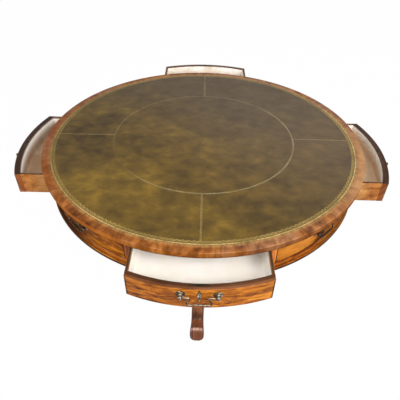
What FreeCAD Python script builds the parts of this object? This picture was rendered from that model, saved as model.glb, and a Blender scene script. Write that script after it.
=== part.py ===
import FreeCAD, Part
import math
import os

# A round drum table: a leather-lined top on a drum with four real drawers and four
# false ones, which turns on a column with three cabriole legs.
#
# Millimetres and degrees, +Z up. The origin is the centre of the writing surface, on the
# axis on which the drum turns. The front drawer faces -Y. Whatever belongs to a drawer is
# drawn at the front with the drawer shut, then pulled out and turned to its own side.

V = FreeCAD.Vector
ORIGIN = V(0, 0, 0)
UP = V(0, 0, 1)

# ---- Driving dimensions ----

# Overall
table_height = 760.0
top_radius = 600.0

# Top: a ground board, a crossbanded border and five leather panels let in flush
top_thickness = 21.5
border_width = 29.0
leather_thickness = 1.5
centre_panel_radius = 343.5
border_ledge = 5.0

# Drum
top_overhang = 31.0
rail_height = 22.4
rail_width = 90.0
rail_sides = 16
kicker_width = 34.0
partition_thickness = 12.0
stile_width = 22.0
stile_thickness = 24.0
false_front_thickness = 20.0
stop_length = 40.0
stop_thickness = 12.7
stop_height = 12.0
stop_from_partition = 20.0
base_board_thickness = 14.8
moulding_projection = 13.0
moulding_rebate = 8.0
moulding_lip = 5.0
moulding_slope_height = 9.0

# Clearances
running_gap = 0.4
side_gap = 0.8
stop_gap = 0.3
bearing_gap = 0.3
spindle_clearance = 0.05
bail_clearance = 0.05
bolt_clearance = 0.3

# Drawers
drawer_width = 418.4
drawer_height = 80.5
front_thickness = 20.0
side_thickness = 9.5
back_thickness = 10.0
bottom_thickness = 6.0
bottom_height = 6.0
bottom_edge_sides = 48
groove_depth = 4.0
lining_thickness = 2.0
lining_floor = 1.5
lining_below_edge = 0.9
lining_sides = 72
rest_opening = {"front": 122.5, "right": 132.0, "back": 240.0, "left": 141.0}

# Locks
lock_width = 44.0
lock_height = 38.0
lock_depth = 11.0
selvedge_length = 60.0
selvedge_thickness = 2.0
bolt_width = 16.0
bolt_thickness = 5.0
bolt_height = 24.0
bolt_below_edge = 0.6
mortice_margin = 1.5
mortice_depth = 9.0
keyhole_width = 3.0
keyhole_height = 10.0
keyhole_below_post = 8.0

# Swan-neck handles
post_spacing = 103.0
post_below_edge = 24.2
post_sides = 6
rosette_radius = 13.0
rosette_thickness = 2.5
rosette_sides = 8
neck_radius = 4.0
knob_radius = 6.3
knob_length = 6.0
knob_taper = 2.2
knob_stand_off = 12.5
bore_sides = 6
bail_radius = 2.5
bail_sides = 6
bail_drop = 31.7
bail_pin_reach = 4.4
bail_neck_half_span = 25.5
bail_neck_radius = 5.5
bail_breast_half_span = 34.5
bail_breast_radius = 8.0
bail_bend_step = 60.0
escutcheon_width = 12.0
escutcheon_above_keyhole = 27.0
escutcheon_below_keyhole = 16.5
escutcheon_shoulder = 5.0
escutcheon_thickness = 1.6

# Pedestal
block_width = 260.0
block_thickness = 30.0
spindle_radius = 12.5
spindle_head_width = 36.0
spindle_head_height = 10.0
pivot_plate_width = 110.0
pivot_plate_thickness = 5.0
board_hole_radius = 18.0
column_sides = 24
column_foot_height = 158.0
column_drum_radius = 52.0
column_drum_top = 272.0
column_ring_radius = 60.0
column_vase_radius = 66.0
column_vase_height = 345.0
column_neck_radius = 34.0
column_neck_height = 490.0
column_waist_radius = 44.0
column_waist_height = 420.0
column_collar_radius = 44.0
column_ring_height = 12.0
column_cap_radius = 72.0
column_cap_height = 36.0
column_cap_edge = 12.0
tie_plate_thickness = 3.0
tie_plate_radius = 46.0
tie_plate_reach = 98.0
tie_plate_arm_width = 22.0
tenon_depth = 18.0
tenon_outer_width = 16.0
tenon_inner_width = 24.0
tenon_height = 84.0

# Each leg is drawn through sections. Every section gives its upper and its lower edge as
# (distance from the axis, height above the floor), and its width. The last ones reach
# below the floor and are cut off level with it.
leg_sections = [
    ((40.0, 266.0), (40.0, 158.0), 52.0),
    ((78.0, 267.0), (74.0, 158.0), 54.0),
    ((112.0, 256.0), (92.0, 164.0), 55.0),
    ((152.0, 231.0), (113.0, 165.0), 54.0),
    ((195.0, 194.0), (151.0, 147.0), 53.0),
    ((243.0, 148.0), (205.0, 109.0), 52.0),
    ((290.0, 103.0), (258.0, 69.0), 51.0),
    ((325.0, 73.0), (300.0, 41.0), 49.0),
    ((346.0, 56.0), (324.0, 24.0), 48.0),
    ((364.0, 43.0), (347.0, 5.0), 52.0),
    ((382.0, 31.5), (371.0, -6.0), 57.0),
    ((399.0, 23.0), (397.0, -6.0), 60.0),
    ((411.0, 13.0), (411.0, -6.0), 50.0),
    ((417.0, 4.0), (417.0, -6.0), 30.0),
]
leg_corner_width = 0.28
leg_corner_height = 0.24
base_turn_angle = -0.7

# Sides of round work that is hidden, or seen only from below
hidden_sides = 20

# How far four corners of one facet may be out of one plane
flatness = 0.00001

# ---- Levels and places that follow ----

floor_level = -table_height
top_underside = -top_thickness
rail_underside = top_underside - rail_height
drawer_top = rail_underside - running_gap
drawer_bottom = drawer_top - drawer_height
base_board_top = drawer_bottom - running_gap
base_board_underside = base_board_top - base_board_thickness
block_top = base_board_underside - bearing_gap
block_underside = block_top - block_thickness
pivot_plate_top = base_board_top + pivot_plate_thickness

border_inner_radius = top_radius - border_width
ground_radius = border_inner_radius - border_ledge
frieze_radius = top_radius - top_overhang
rail_inner_radius = frieze_radius - rail_width
board_radius = frieze_radius - moulding_rebate
stile_inner_radius = frieze_radius - stile_thickness

drawer_half = drawer_width / 2
drawer_inner_half = drawer_half - side_thickness
front_inner_radius = frieze_radius - front_thickness
panel_low = drawer_bottom + bottom_height
panel_high = panel_low + bottom_thickness
lining_top = drawer_top - lining_below_edge

bay_half = drawer_half + side_gap
bay_end = -(bay_half + partition_thickness)
drawer_rear = bay_end - stop_thickness - stop_gap
stile_angle = math.degrees(math.asin((bay_half + stile_width) / frieze_radius))

lock_outer = -(front_inner_radius + lock_depth)
bolt_middle = -(front_inner_radius + lock_depth / 2)

post_level = drawer_top - post_below_edge
post_angle = math.degrees(math.asin(post_spacing / 2 / frieze_radius))
knob_distance = frieze_radius + knob_stand_off
knob_x = knob_distance * math.sin(math.radians(post_angle))
bail_axis_y = -knob_distance * math.cos(math.radians(post_angle))
keyhole_level = post_level - keyhole_below_post

drawer_turn = {"front": 0.0, "right": 90.0, "back": 180.0, "left": 270.0}
false_front_turn = {"front_right": 45.0, "back_right": 135.0,
                    "back_left": 225.0, "front_left": 315.0}
leg_turn = {"front": 0.0, "rear_right": 120.0, "rear_left": 240.0}


# ---- Plain shapes ----

def block(x_low, x_high, y_low, y_high, z_low, z_high):
    """A box between two values on each axis."""
    corner = V(x_low, y_low, z_low)
    return Part.makeBox(x_high - x_low, y_high - y_low, z_high - z_low, corner)


def disc(radius, z_low, z_high):
    """An upright cylinder about the table's axis."""
    return Part.makeCylinder(radius, z_high - z_low, V(0, 0, z_low))


def ring(outer, inner, z_low, z_high):
    """An upright tube about the table's axis."""
    return disc(outer, z_low, z_high).cut(disc(inner, z_low, z_high))


def sector(outer, inner, z_low, z_high, start, end):
    """The part of a ring between two angles, counted from the front, anticlockwise."""
    wedge = Part.makeCylinder(outer, z_high - z_low, V(0, 0, z_low), UP, end - start)
    piece = wedge.cut(disc(inner, z_low, z_high))
    return turned(piece, start - 90)


def revolved(outline):
    """A solid turned about the table's axis from (radius, level) points."""
    points = [V(radius, 0, level) for radius, level in outline]
    return flat_face(points).revolve(ORIGIN, UP, 360)


def turned(shape, angle):
    """A copy turned about the table's axis."""
    copy = shape.copy()
    copy.rotate(ORIGIN, UP, angle)
    return copy


def mirrored(shape):
    """The left-hand copy of a right-hand shape."""
    return shape.mirror(ORIGIN, V(1, 0, 0))


def on_four_sides(shapes):
    """Copies of the shapes on the front, right, back and left sides."""
    return [turned(shape, angle) for angle in drawer_turn.values() for shape in shapes]


def flat_face(points):
    return Part.Face(Part.makePolygon(points + points[:1]))


def flat_panels(corners):
    """One flat face on four corners, or two where the corners aren't in one plane."""
    first, second, third, fourth = corners
    normal = (second - first).cross(third - first)
    if abs(normal.dot(fourth - first)) < flatness * normal.Length:
        return [flat_face(corners)]
    return [flat_face([first, second, third]), flat_face([first, third, fourth])]


def faceted(outlines):
    """A solid with flat sides through outlines of as many points each."""
    faces = [flat_face(outlines[0]), flat_face(outlines[-1])]
    for near, far in zip(outlines, outlines[1:]):
        for index in range(len(near)):
            following = (index + 1) % len(near)
            faces += flat_panels([near[index], near[following], far[following], far[index]])
    solid = Part.makeSolid(Part.makeShell(faces))
    solid.fix(0.001, 0.001, 0.001)
    return solid


def many_sided(radius, sides):
    """The corners of a regular outline, as two offsets from its middle."""
    angles = [2 * math.pi * (index + 0.5) / sides for index in range(sides)]
    return [(radius * math.cos(angle), radius * math.sin(angle)) for angle in angles]


def turned_outward(profile, sides):
    """A turned shape with flats and its axis to the front, from (radius, distance) pairs."""
    return faceted([[V(x, -distance, post_level + z) for x, z in many_sided(radius, sides)]
                    for radius, distance in profile])


def turned_upright(profile, sides):
    """A turned shape with flats and its axis upright, from (radius, level) pairs."""
    return faceted([[V(x, y, level) for x, y in many_sided(radius, sides)]
                    for radius, level in profile])


def prism(radius, sides, z_low, z_high):
    """An upright solid with flat sides about the table's axis."""
    return turned_upright([(radius, z_low), (radius, z_high)], sides)


def around(radius, sides):
    """The radius to the corners of a regular outline that a circle just fits inside."""
    return radius / math.cos(math.pi / sides)


# ---- Top ----

def top_board():
    """The ground board, sawn to straight lengths where the border hides its edge."""
    return prism(ground_radius, hidden_sides, top_underside, -leather_thickness)


def top_border():
    """The border round the ground board, with a ledge for the edge of the leather."""
    border = disc(top_radius, top_underside, 0)
    border = border.cut(disc(border_inner_radius, -leather_thickness, 0))
    return border.cut(top_board())


def leather_panels():
    """The round centre panel and four quarter panels, which meet on the drawers' axes."""
    centre = disc(centre_panel_radius, -leather_thickness, 0)
    quarter = sector(border_inner_radius, centre_panel_radius, -leather_thickness, 0, 0, 90)
    return [centre] + on_four_sides([quarter])


# ---- Drum ----

def rail_mortice():
    """The socket above the front drawer that its lock bolt rises into."""
    half_width = bolt_width / 2 + mortice_margin
    half_thickness = bolt_thickness / 2 + mortice_margin
    return block(-half_width, half_width, bolt_middle - half_thickness,
                 bolt_middle + half_thickness, rail_underside, rail_underside + mortice_depth)


def rail_hollow():
    """The room inside the top rail, whose inner edge is left in straight lengths."""
    return prism(rail_inner_radius, rail_sides, rail_underside, top_underside)


def top_rail():
    rail = disc(frieze_radius, rail_underside, top_underside).cut(rail_hollow())
    for mortice in on_four_sides([rail_mortice()]):
        rail = rail.cut(mortice)
    return rail


def kickers():
    """Strips over both sides of each drawer, which keep it level when it is pulled out."""
    inner = bay_half + partition_thickness - kicker_width
    strip = block(inner, -bay_end, -frieze_radius, bay_end, rail_underside, top_underside)
    strip = strip.common(rail_hollow())
    return on_four_sides([strip, mirrored(strip)])


def partitions():
    """The upright boards on both sides of each drawer."""
    wall = block(bay_half, -bay_end, -frieze_radius, bay_end + partition_thickness,
                 base_board_top, rail_underside)
    wall = wall.common(disc(stile_inner_radius, base_board_top, rail_underside))
    other = block(bay_end, -bay_half, -frieze_radius, bay_end, base_board_top, rail_underside)
    other = other.common(disc(stile_inner_radius, base_board_top, rail_underside))
    return on_four_sides([wall, other])


def frieze_stiles():
    """The narrow uprights between each drawer and the false fronts beside it."""
    arc = sector(frieze_radius, stile_inner_radius, base_board_top, rail_underside,
                 0, stile_angle)
    stile = arc.cut(block(0, bay_half, -frieze_radius, 0, base_board_top, rail_underside))
    return on_four_sides([stile, mirrored(stile)])


def false_fronts():
    front = sector(frieze_radius, frieze_radius - false_front_thickness,
                   base_board_top, rail_underside, stile_angle, 90 - stile_angle)
    return on_four_sides([front])


def drawer_stops():
    """Blocks behind each drawer that it meets when its front is flush."""
    outer = bay_half - stop_from_partition
    stop = block(outer - stop_length, outer, drawer_rear + stop_gap, bay_end,
                 base_board_top, base_board_top + stop_height)
    return on_four_sides([stop, mirrored(stop)])


def base_board():
    board = prism(board_radius, hidden_sides, base_board_underside, base_board_top)
    return board.cut(disc(board_hole_radius, base_board_underside, base_board_top))


def base_moulding():
    """The moulding round the base board, sloped above an upright nose."""
    nose = frieze_radius + moulding_projection
    low = base_board_underside - moulding_lip
    turning = revolved([
        (0, base_board_top), (frieze_radius, base_board_top),
        (nose, base_board_top - moulding_slope_height), (nose, low), (0, low)])
    return turning.cut(prism(board_radius, hidden_sides, low, base_board_top))


def pivot_plate():
    half = pivot_plate_width / 2
    plate = block(-half, half, -half, half, base_board_top, pivot_plate_top)
    bore_radius = around(spindle_radius + spindle_clearance, hidden_sides)
    return plate.cut(prism(bore_radius, hidden_sides, base_board_top, pivot_plate_top))


# ---- Locks ----

def lock_bolt(grown=0.0):
    """The bolt, drawn back. With grown it is the slot that the bolt slides in."""
    half_width = bolt_width / 2 + grown
    half_thickness = bolt_thickness / 2 + grown
    high = drawer_top - bolt_below_edge
    low = high - bolt_height - grown
    if grown:
        high = drawer_top
    return block(-half_width, half_width, bolt_middle - half_thickness,
                 bolt_middle + half_thickness, low, high)


def keyhole(y_low, y_high):
    """An upright slot for the key, cut from front to back."""
    half_width = keyhole_width / 2
    half_height = keyhole_height / 2
    return block(-half_width, half_width, y_low, y_high,
                 keyhole_level - half_height, keyhole_level + half_height)


def lock_case():
    """The case let into the back of the drawer front, with its plate on the top edge."""
    case = block(-lock_width / 2, lock_width / 2, lock_outer, -front_inner_radius,
                 drawer_top - lock_height, drawer_top)
    plate = block(-selvedge_length / 2, selvedge_length / 2, lock_outer,
                  -front_inner_radius, drawer_top - selvedge_thickness, drawer_top)
    return case.fuse(plate).removeSplitter()


# ---- Handles ----

def handle_posts():
    """Two turned posts on round plates, bored for the bail's ends."""
    knob_start = knob_distance - knob_length / 2
    knob_end = knob_distance + knob_length / 2
    plate_front = frieze_radius + rosette_thickness
    plate = turned_outward([(rosette_radius, frieze_radius), (rosette_radius, plate_front)],
                           rosette_sides)
    stem = turned_outward([
        (neck_radius, plate_front), (neck_radius, knob_start - knob_taper),
        (knob_radius, knob_start), (knob_radius, knob_end),
        (neck_radius, knob_end + knob_taper)], post_sides)
    post = turned(plate.fuse(stem), post_angle)
    bore_radius = around(bail_radius + bail_clearance, bore_sides)
    bore = [[V(x, bail_axis_y + y, post_level + z) for y, z in many_sided(bore_radius, bore_sides)]
            for x in (knob_x - 2 * knob_radius, knob_x + 2 * knob_radius)]
    post = post.cut(faceted(bore))
    return [post, mirrored(post)]


def bend(centre, radius, start, end):
    """Points of a round bend about (x, z), one about every bail_bend_step degrees."""
    count = int(round(abs(end - start) / bail_bend_step))
    points = []
    for index in range(count + 1):
        angle = math.radians(start + (end - start) * index / count)
        points.append((centre[0] + radius * math.cos(angle),
                       centre[1] + radius * math.sin(angle)))
    return points


def bail_half_path():
    """The right half of the bail, as (x, z): its pin runs inward to the neck, which bends
    back under it, and a straight run that touches both bends leads to the breast."""
    neck = (bail_neck_half_span + bail_neck_radius, -bail_neck_radius)
    breast = (bail_breast_half_span - bail_breast_radius, bail_breast_radius - bail_drop)
    across, along = breast[0] - neck[0], breast[1] - neck[1]
    slope = math.degrees(math.atan2(along, across)) % 360
    lean = math.degrees(math.acos((bail_neck_radius + bail_breast_radius)
                                  / math.hypot(across, along)))
    path = [(knob_x + bail_pin_reach, 0.0)]
    path += bend(neck, bail_neck_radius, 90, slope - lean)
    path += bend(breast, bail_breast_radius, slope - lean - 180, -90)
    return path


def bail():
    """A rod of even thickness, bent in its own upright plane and mitred at each point."""
    right = bail_half_path()
    path = [(-x, z) for x, z in right] + right[::-1]
    outlines = []
    for index, (x, z) in enumerate(path):
        before = path[max(index - 1, 0)]
        after = path[min(index + 1, len(path) - 1)]
        arriving = V(x - before[0], 0, z - before[1])
        leaving = V(after[0] - x, 0, after[1] - z)
        if arriving.Length == 0:
            arriving = V(leaving)
        if leaving.Length == 0:
            leaving = V(arriving)
        arriving.normalize()
        leaving.normalize()
        along = arriving + leaving
        along.normalize()
        across = V(-along.z, 0, along.x) / along.dot(leaving)
        middle = V(x, bail_axis_y, z + post_level)
        points = []
        for side in range(bail_sides):
            angle = 2 * math.pi * side / bail_sides
            points.append(middle + across * bail_radius * math.cos(angle)
                          + V(0, bail_radius * math.sin(angle), 0))
        outlines.append(points)
    return faceted(outlines)


def escutcheon():
    """A tall pointed plate with six sides, pierced for the key."""
    front = -(frieze_radius + escutcheon_thickness)
    half_width = escutcheon_width / 2
    shoulder = escutcheon_shoulder
    outline = [(0, escutcheon_above_keyhole), (half_width, shoulder), (half_width, -shoulder),
               (0, -escutcheon_below_keyhole), (-half_width, -shoulder),
               (-half_width, shoulder)]
    plate = flat_face([V(x, front, keyhole_level + z) for x, z in outline])
    return plate.extrude(V(0, escutcheon_thickness, 0)).cut(keyhole(front, -frieze_radius))


# ---- Drawers ----

def bottom_panel():
    """The bottom, in grooves in the sides and the front, and under the back."""
    half = drawer_inner_half + groove_depth
    panel = block(-half, half, -frieze_radius, drawer_rear, panel_low, panel_high)
    edge = prism(front_inner_radius + groove_depth, bottom_edge_sides, panel_low, panel_high)
    return panel.common(edge)


def drawer_face():
    board = ring(frieze_radius, front_inner_radius, drawer_bottom, drawer_top)
    board = board.common(block(-drawer_half, drawer_half, -frieze_radius, 0,
                               drawer_bottom, drawer_top))
    board = board.cut(bottom_panel())
    board = board.cut(lock_case())
    return board.cut(keyhole(-frieze_radius, lock_outer))


def drawer_sides():
    side = block(drawer_inner_half, drawer_half, -frieze_radius, drawer_rear,
                 drawer_bottom, drawer_top)
    side = side.common(disc(front_inner_radius, drawer_bottom, drawer_top))
    side = side.cut(bottom_panel())
    return [side, mirrored(side)]


def drawer_back():
    return block(-drawer_inner_half, drawer_inner_half, drawer_rear - back_thickness,
                 drawer_rear, panel_high, drawer_top)


def drawer_lining():
    """The pale lining of the walls and floor, as one tray."""
    rear = drawer_rear - back_thickness
    tray = block(-drawer_inner_half, drawer_inner_half, -frieze_radius, rear,
                 panel_high, lining_top)
    tray = tray.common(disc(front_inner_radius, panel_high, lining_top))
    half = drawer_inner_half - lining_thickness
    floor = panel_high + lining_floor
    hollow = block(-half, half, -frieze_radius, rear - lining_thickness, floor, lining_top)
    bow = prism(front_inner_radius - lining_thickness, lining_sides, floor, lining_top)
    return tray.cut(hollow.common(bow))


# ---- Pedestal ----

def column():
    """A turned vase on a drum that takes the legs, cut for their dovetails."""
    foot = floor_level + column_foot_height
    drum_top = floor_level + column_drum_top
    vase = floor_level + column_vase_height
    neck = floor_level + column_neck_height
    turning = turned_upright([
        (column_ring_radius, drum_top),
        (column_ring_radius, drum_top + column_ring_height),
        (column_drum_radius, drum_top + column_ring_height),
        (column_vase_radius, vase),
        (column_waist_radius, column_waist_height + floor_level),
        (column_neck_radius, neck), (column_collar_radius, neck),
        (column_collar_radius, neck + column_ring_height),
        (column_neck_radius, neck + column_ring_height),
        (column_neck_radius, block_underside - column_cap_height),
        (column_cap_radius, block_underside - column_cap_edge),
        (column_cap_radius, block_underside)], column_sides)
    post = disc(column_drum_radius, foot, drum_top).fuse(turning)
    for angle in leg_turn.values():
        post = post.cut(turned(leg_tenon(), angle + base_turn_angle))
    return post


def leg_tenon():
    """The dovetail on a leg's inner end, which slides up into the column's drum."""
    low = floor_level + column_foot_height
    inner = -(column_drum_radius - tenon_depth)
    outer = -column_drum_radius - 1
    points = [V(-tenon_inner_width / 2, inner, low), V(tenon_inner_width / 2, inner, low),
              V(tenon_outer_width / 2, outer, low), V(-tenon_outer_width / 2, outer, low)]
    return flat_face(points).extrude(V(0, 0, tenon_height))


def tie_plate():
    """The iron plate under the column, with an arm under each leg's root."""
    high = floor_level + column_foot_height
    low = high - tie_plate_thickness
    plate = prism(tie_plate_radius, hidden_sides, low, high)
    half = tie_plate_arm_width / 2
    for angle in leg_turn.values():
        arm = block(-half, half, -tie_plate_reach, 0, low, high)
        plate = plate.fuse(turned(arm, angle + base_turn_angle))
    return plate.removeSplitter()


def leg_section(upper, lower, width):
    """An eight-sided outline between a leg's upper and lower edge at one place."""
    high = V(0, -upper[0], floor_level + upper[1])
    low = V(0, -lower[0], floor_level + lower[1])
    half = width / 2
    inner = half - leg_corner_width * width
    near_high = high + (low - high) * leg_corner_height
    near_low = low + (high - low) * leg_corner_height
    across = V(1, 0, 0)
    return [high - across * inner, high + across * inner,
            near_high + across * half, near_low + across * half,
            low + across * inner, low - across * inner,
            near_low - across * half, near_high - across * half]


def front_leg():
    leg = faceted([leg_section(*section) for section in leg_sections])
    top = floor_level + column_drum_top
    leg = leg.cut(disc(column_drum_radius, floor_level, top))
    leg = leg.cut(block(-top_radius, top_radius, -top_radius, top_radius,
                        floor_level - table_height, floor_level))
    leg = leg.fuse(leg_tenon())
    return leg.cut(turned(tie_plate(), -base_turn_angle))


def bearing_block():
    half = block_width / 2
    body = block(-half, half, -half, half, block_underside, block_top)
    return body.cut(prism(spindle_radius, hidden_sides, block_underside, block_top))


def pivot_spindle():
    """The iron pin in the block that the drum turns on, with a six-sided head."""
    head_low = pivot_plate_top + bearing_gap
    points = []
    for index in range(6):
        angle = math.pi * index / 3
        points.append(V(spindle_head_width / 2 * math.cos(angle),
                        spindle_head_width / 2 * math.sin(angle), head_low))
    head = flat_face(points).extrude(V(0, 0, spindle_head_height))
    return prism(spindle_radius, hidden_sides, block_underside, head_low).fuse(head)


# ---- The assembly ----

def save(name, solids):
    """Write one sub-part as a STEP file named after its node."""
    shape = solids[0] if len(solids) == 1 else Part.makeCompound(solids)
    if not shape.isValid():
        raise ValueError(name + " is not a valid shape")
    shape.exportStep(os.path.join("parts", name + ".step"))
    print(f"{name}: {len(shape.Solids)} solids, {shape.Volume / 1000:.1f} cm3")


def placed(shapes, side):
    """Copies of a front drawer's pieces on their own side, pulled out as at rest."""
    result = []
    for shape in shapes:
        copy = shape.copy()
        copy.translate(V(0, -rest_opening[side], 0))
        result.append(turned(copy, drawer_turn[side]))
    return result


def main():
    os.makedirs("parts", exist_ok=True)

    save("top_board", [top_board()])
    save("top_border", [top_border()])
    save("leather_panels", leather_panels())

    save("top_rail", [top_rail()])
    save("kickers", kickers())
    save("partitions", partitions())
    save("frieze_stiles", frieze_stiles())
    save("false_fronts", false_fronts())
    save("drawer_stops", drawer_stops())
    save("base_board", [base_board()])
    save("base_moulding", [base_moulding()])
    save("pivot_plate", [pivot_plate()])

    fittings = handle_posts() + [escutcheon()]
    loop = bail()
    posts = []
    for place, angle in false_front_turn.items():
        posts += [turned(piece, angle) for piece in fittings]
        save("bail_" + place, [turned(loop, angle)])
    save("false_front_handle_posts", posts)

    lock = lock_case().cut(lock_bolt(bolt_clearance))
    drawer_pieces = {
        "face": [drawer_face()],
        "sides": drawer_sides(),
        "back": [drawer_back()],
        "bottom": [bottom_panel()],
        "lining": [drawer_lining()],
        "lock": [lock],
        "lock_bolt": [lock_bolt()],
        "handle_posts": fittings,
        "bail": [loop],
    }
    for side in drawer_turn:
        for piece, solids in drawer_pieces.items():
            save(f"{side}_drawer_{piece}", placed(solids, side))

    save("column", [column()])
    save("tie_plate", [turned(tie_plate(), 0)])
    leg = front_leg()
    for place, angle in leg_turn.items():
        save("leg_" + place, [turned(leg, angle + base_turn_angle)])
    save("bearing_block", [bearing_block()])
    save("pivot_spindle", [pivot_spindle()])


main()
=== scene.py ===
# %% [markdown]
# # A round drum writing table
#
# The table's solid parts are drawn and packed elsewhere. This lesson loads them as a fixed
# frame, and dresses them: most are replaced by finer surfaces, and each gets a finish.
# Lengths are in millimetres until a mesh is made, and every piece is made where it stands,
# so that its object stays at the origin.

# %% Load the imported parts
import math

import bmesh
import bpy
import numpy as np
from mathutils import Matrix


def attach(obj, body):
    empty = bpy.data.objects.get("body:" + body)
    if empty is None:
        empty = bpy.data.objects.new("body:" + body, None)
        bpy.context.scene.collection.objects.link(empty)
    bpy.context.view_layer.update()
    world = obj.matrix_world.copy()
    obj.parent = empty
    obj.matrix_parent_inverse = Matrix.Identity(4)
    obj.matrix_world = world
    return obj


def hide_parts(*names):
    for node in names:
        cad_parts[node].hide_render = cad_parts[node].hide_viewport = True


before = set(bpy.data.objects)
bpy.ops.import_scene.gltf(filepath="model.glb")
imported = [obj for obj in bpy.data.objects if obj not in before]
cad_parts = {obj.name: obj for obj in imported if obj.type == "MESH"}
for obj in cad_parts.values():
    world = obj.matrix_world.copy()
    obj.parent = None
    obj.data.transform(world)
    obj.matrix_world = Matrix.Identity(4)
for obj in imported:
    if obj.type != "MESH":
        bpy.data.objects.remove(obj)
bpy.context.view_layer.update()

# %% [markdown]
# ## Camera
#
# The camera looks down on the writing surface from the front. Its axes are written out as
# the columns of a matrix: to the right, up, and backward along the line of sight.

# %% Camera
def stand(name, data, axes, place):
    """A new object at that place, with its x, y and z axes along the three given."""
    thing = bpy.data.objects.new(name, data)
    bpy.context.scene.collection.objects.link(thing)
    matrix = np.eye(4)
    matrix[:3] = np.stack([*axes, place], axis=1)
    thing.matrix_world = Matrix(matrix.tolist())
    return thing


right = np.array([0.99966, 0.02061, 0.01614])
up = np.array([-0.02567, 0.64987, 0.75961])
place = (0.0011, -1.3672, 0.8485)
lens = bpy.data.cameras.new("camera")
lens.sensor_fit, lens.sensor_width, lens.lens = "HORIZONTAL", 36.0, 36.98
bpy.context.scene.camera = stand("camera", lens, (right, up, np.cross(right, up)), place)
print("camera at", place, "with a lens of", lens.lens, "mm")

# %% [markdown]
# ## Nodes by hand
#
# A material is a tree of small nodes. Here a wire is a node's output, and arithmetic on
# wires adds the nodes that do it. Colours are written as they look on a screen, and turned
# into light values where they are used.

# %% Helpers for materials
ROUND = 0.57


class Wire:
    """A node's output. Arithmetic on it adds a node and gives that node's output."""

    def __init__(self, socket):
        self.socket, self.tree = socket, socket.id_data

    def step(self, operation, *others):
        """One step of arithmetic, with this value first."""
        return add(self.tree, "Math", (self, *others), operation=operation)

    def __add__(self, other):
        return self.step("ADD", other)

    def __sub__(self, other):
        return self.step("SUBTRACT", other)

    def __mul__(self, other):
        return self.step("MULTIPLY", other)

    def fade(self, low, high, start=0.0, end=1.0):
        """Goes smoothly from start to end while this goes from low to high."""
        return add(self.tree, "MapRange", (self, low, high, start, end),
                   interpolation_type="SMOOTHSTEP")

    def parts(self):
        """A place's three numbers."""
        node = add(self.tree, "SeparateXYZ", (self,)).socket.node
        return [Wire(output) for output in node.outputs]

    def away_from(self, x, y):
        """A place's distance from that one on the top."""
        return add(self.tree, "VectorMath", (self, (x, y, 0)), 1, operation="DISTANCE")


def most(first, *others):
    """The largest of several values."""
    for other in others:
        first = first.step("MAXIMUM", other)
    return first


def colour(red, green, blue):
    """A screen colour, 0 to 255, as light: the standard curve is undone for each part."""
    share = np.array([red, green, blue]) / 255
    light = np.where(share <= 0.04045, share / 12.92, ((share + 0.055) / 1.055) ** 2.4)
    return (*light.tolist(), 1.0)


def finish(name):
    """A new material, with its tree of nodes and its main shader."""
    material = bpy.data.materials.new(name)
    material.use_nodes = True
    return material, material.node_tree, material.node_tree.nodes["Principled BSDF"]


def feed(node, inputs):
    """Links or sets a node's inputs, by name or in order."""
    for socket, value in inputs.items() if isinstance(inputs, dict) else enumerate(inputs):
        if isinstance(value, Wire):
            node.id_data.links.new(value.socket, node.inputs[socket])
        else:
            node.inputs[socket].default_value = value


def add(tree, kind, inputs, output=0, **settings):
    """Adds a node, sets and feeds it, and gives one of its outputs."""
    made = tree.nodes.new("ShaderNode" + kind)
    for name, value in settings.items():
        setattr(made, name, value)
    feed(made, inputs)
    return Wire(made.outputs[output])


def noise(place, scale, detail, rough, bend=0.0):
    """Cloudy noise between 0 and 1. A scale of three numbers draws it out."""
    if isinstance(scale, tuple):
        place, scale = add(place.tree, "Mapping", {"Vector": place, "Scale": scale}), 1.0
    return add(place.tree, "TexNoise", {"Vector": place, "Scale": scale, "Detail": detail,
                                        "Roughness": rough, "Distortion": bend})


def mixed(share, first, second, blend="MIX"):
    """Two colours mixed: none of the second at share 0, all of it at share 1."""
    first, second = (shade if isinstance(shade, Wire) else colour(*shade)
                     for shade in (first, second))
    return add(share.tree, "Mix", {0: share, 6: first, 7: second}, 2,
               data_type="RGBA", blend_type=blend)


def layered(tint, *layers):
    """More colours laid over one: layers are (share, colour), the lowest first."""
    for share, shade in layers:
        tint = mixed(share, tint, shade)
    return tint


def scale_of(share, *stops):
    """Colours along a scale: stops are (place from 0 to 1, colour)."""
    ramp = add(share.tree, "ValToRGB", (share,))
    elements = ramp.socket.node.color_ramp.elements
    while len(elements) < len(stops):
        elements.new(0.5)
    for element, (position, shade) in zip(elements, stops):
        element.position, element.color = position, colour(*shade)
    return ramp


def bump(height, depth, strength):
    """A normal for a relief as deep as depth, in metres."""
    return add(height.tree, "Bump",
               {"Height": height, "Distance": depth, "Strength": strength})


def polar(tree):
    """Round the table's axis: length along a circle of radius ROUND, radius and height."""
    x, y, z = add(tree, "TexCoord", {}, "Object").parts()
    return y.step("ARCTAN2", x) * ROUND, (x * x + y * y).step("SQRT"), z


def coat(shader, tint, rough, normal, shine):
    """Feeds the four inputs that nearly every finish has."""
    feed(shader, {"Base Color": tint, "Roughness": rough, "Normal": normal,
                  "Specular IOR Level": shine})


print("helpers for materials ready")

# %% [markdown]
# ## Polished wood
#
# Mahogany has broad bands from its growth, thin streaks and short dark pores along the
# grain, and here and there a mottle across it. Each is cloudy noise, drawn out along the
# grain by its own amount. The first number of the place is always metres along the grain:
# it comes from a piece's own map, or from the object's axes or the circle round the table.

# %% Wood
def along_grain(tree, way):
    """A place in metres with the grain's direction first."""
    if way == "map":
        return add(tree, "UVMap", {})
    if way == "round":
        along, radius, level = polar(tree)
        return add(tree, "CombineXYZ", (along, level, radius))
    place = add(tree, "TexCoord", {}, "Object")
    x, y, z = place.parts()
    return add(tree, "CombineXYZ", (z, x, y)) if way == "z" else place


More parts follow.
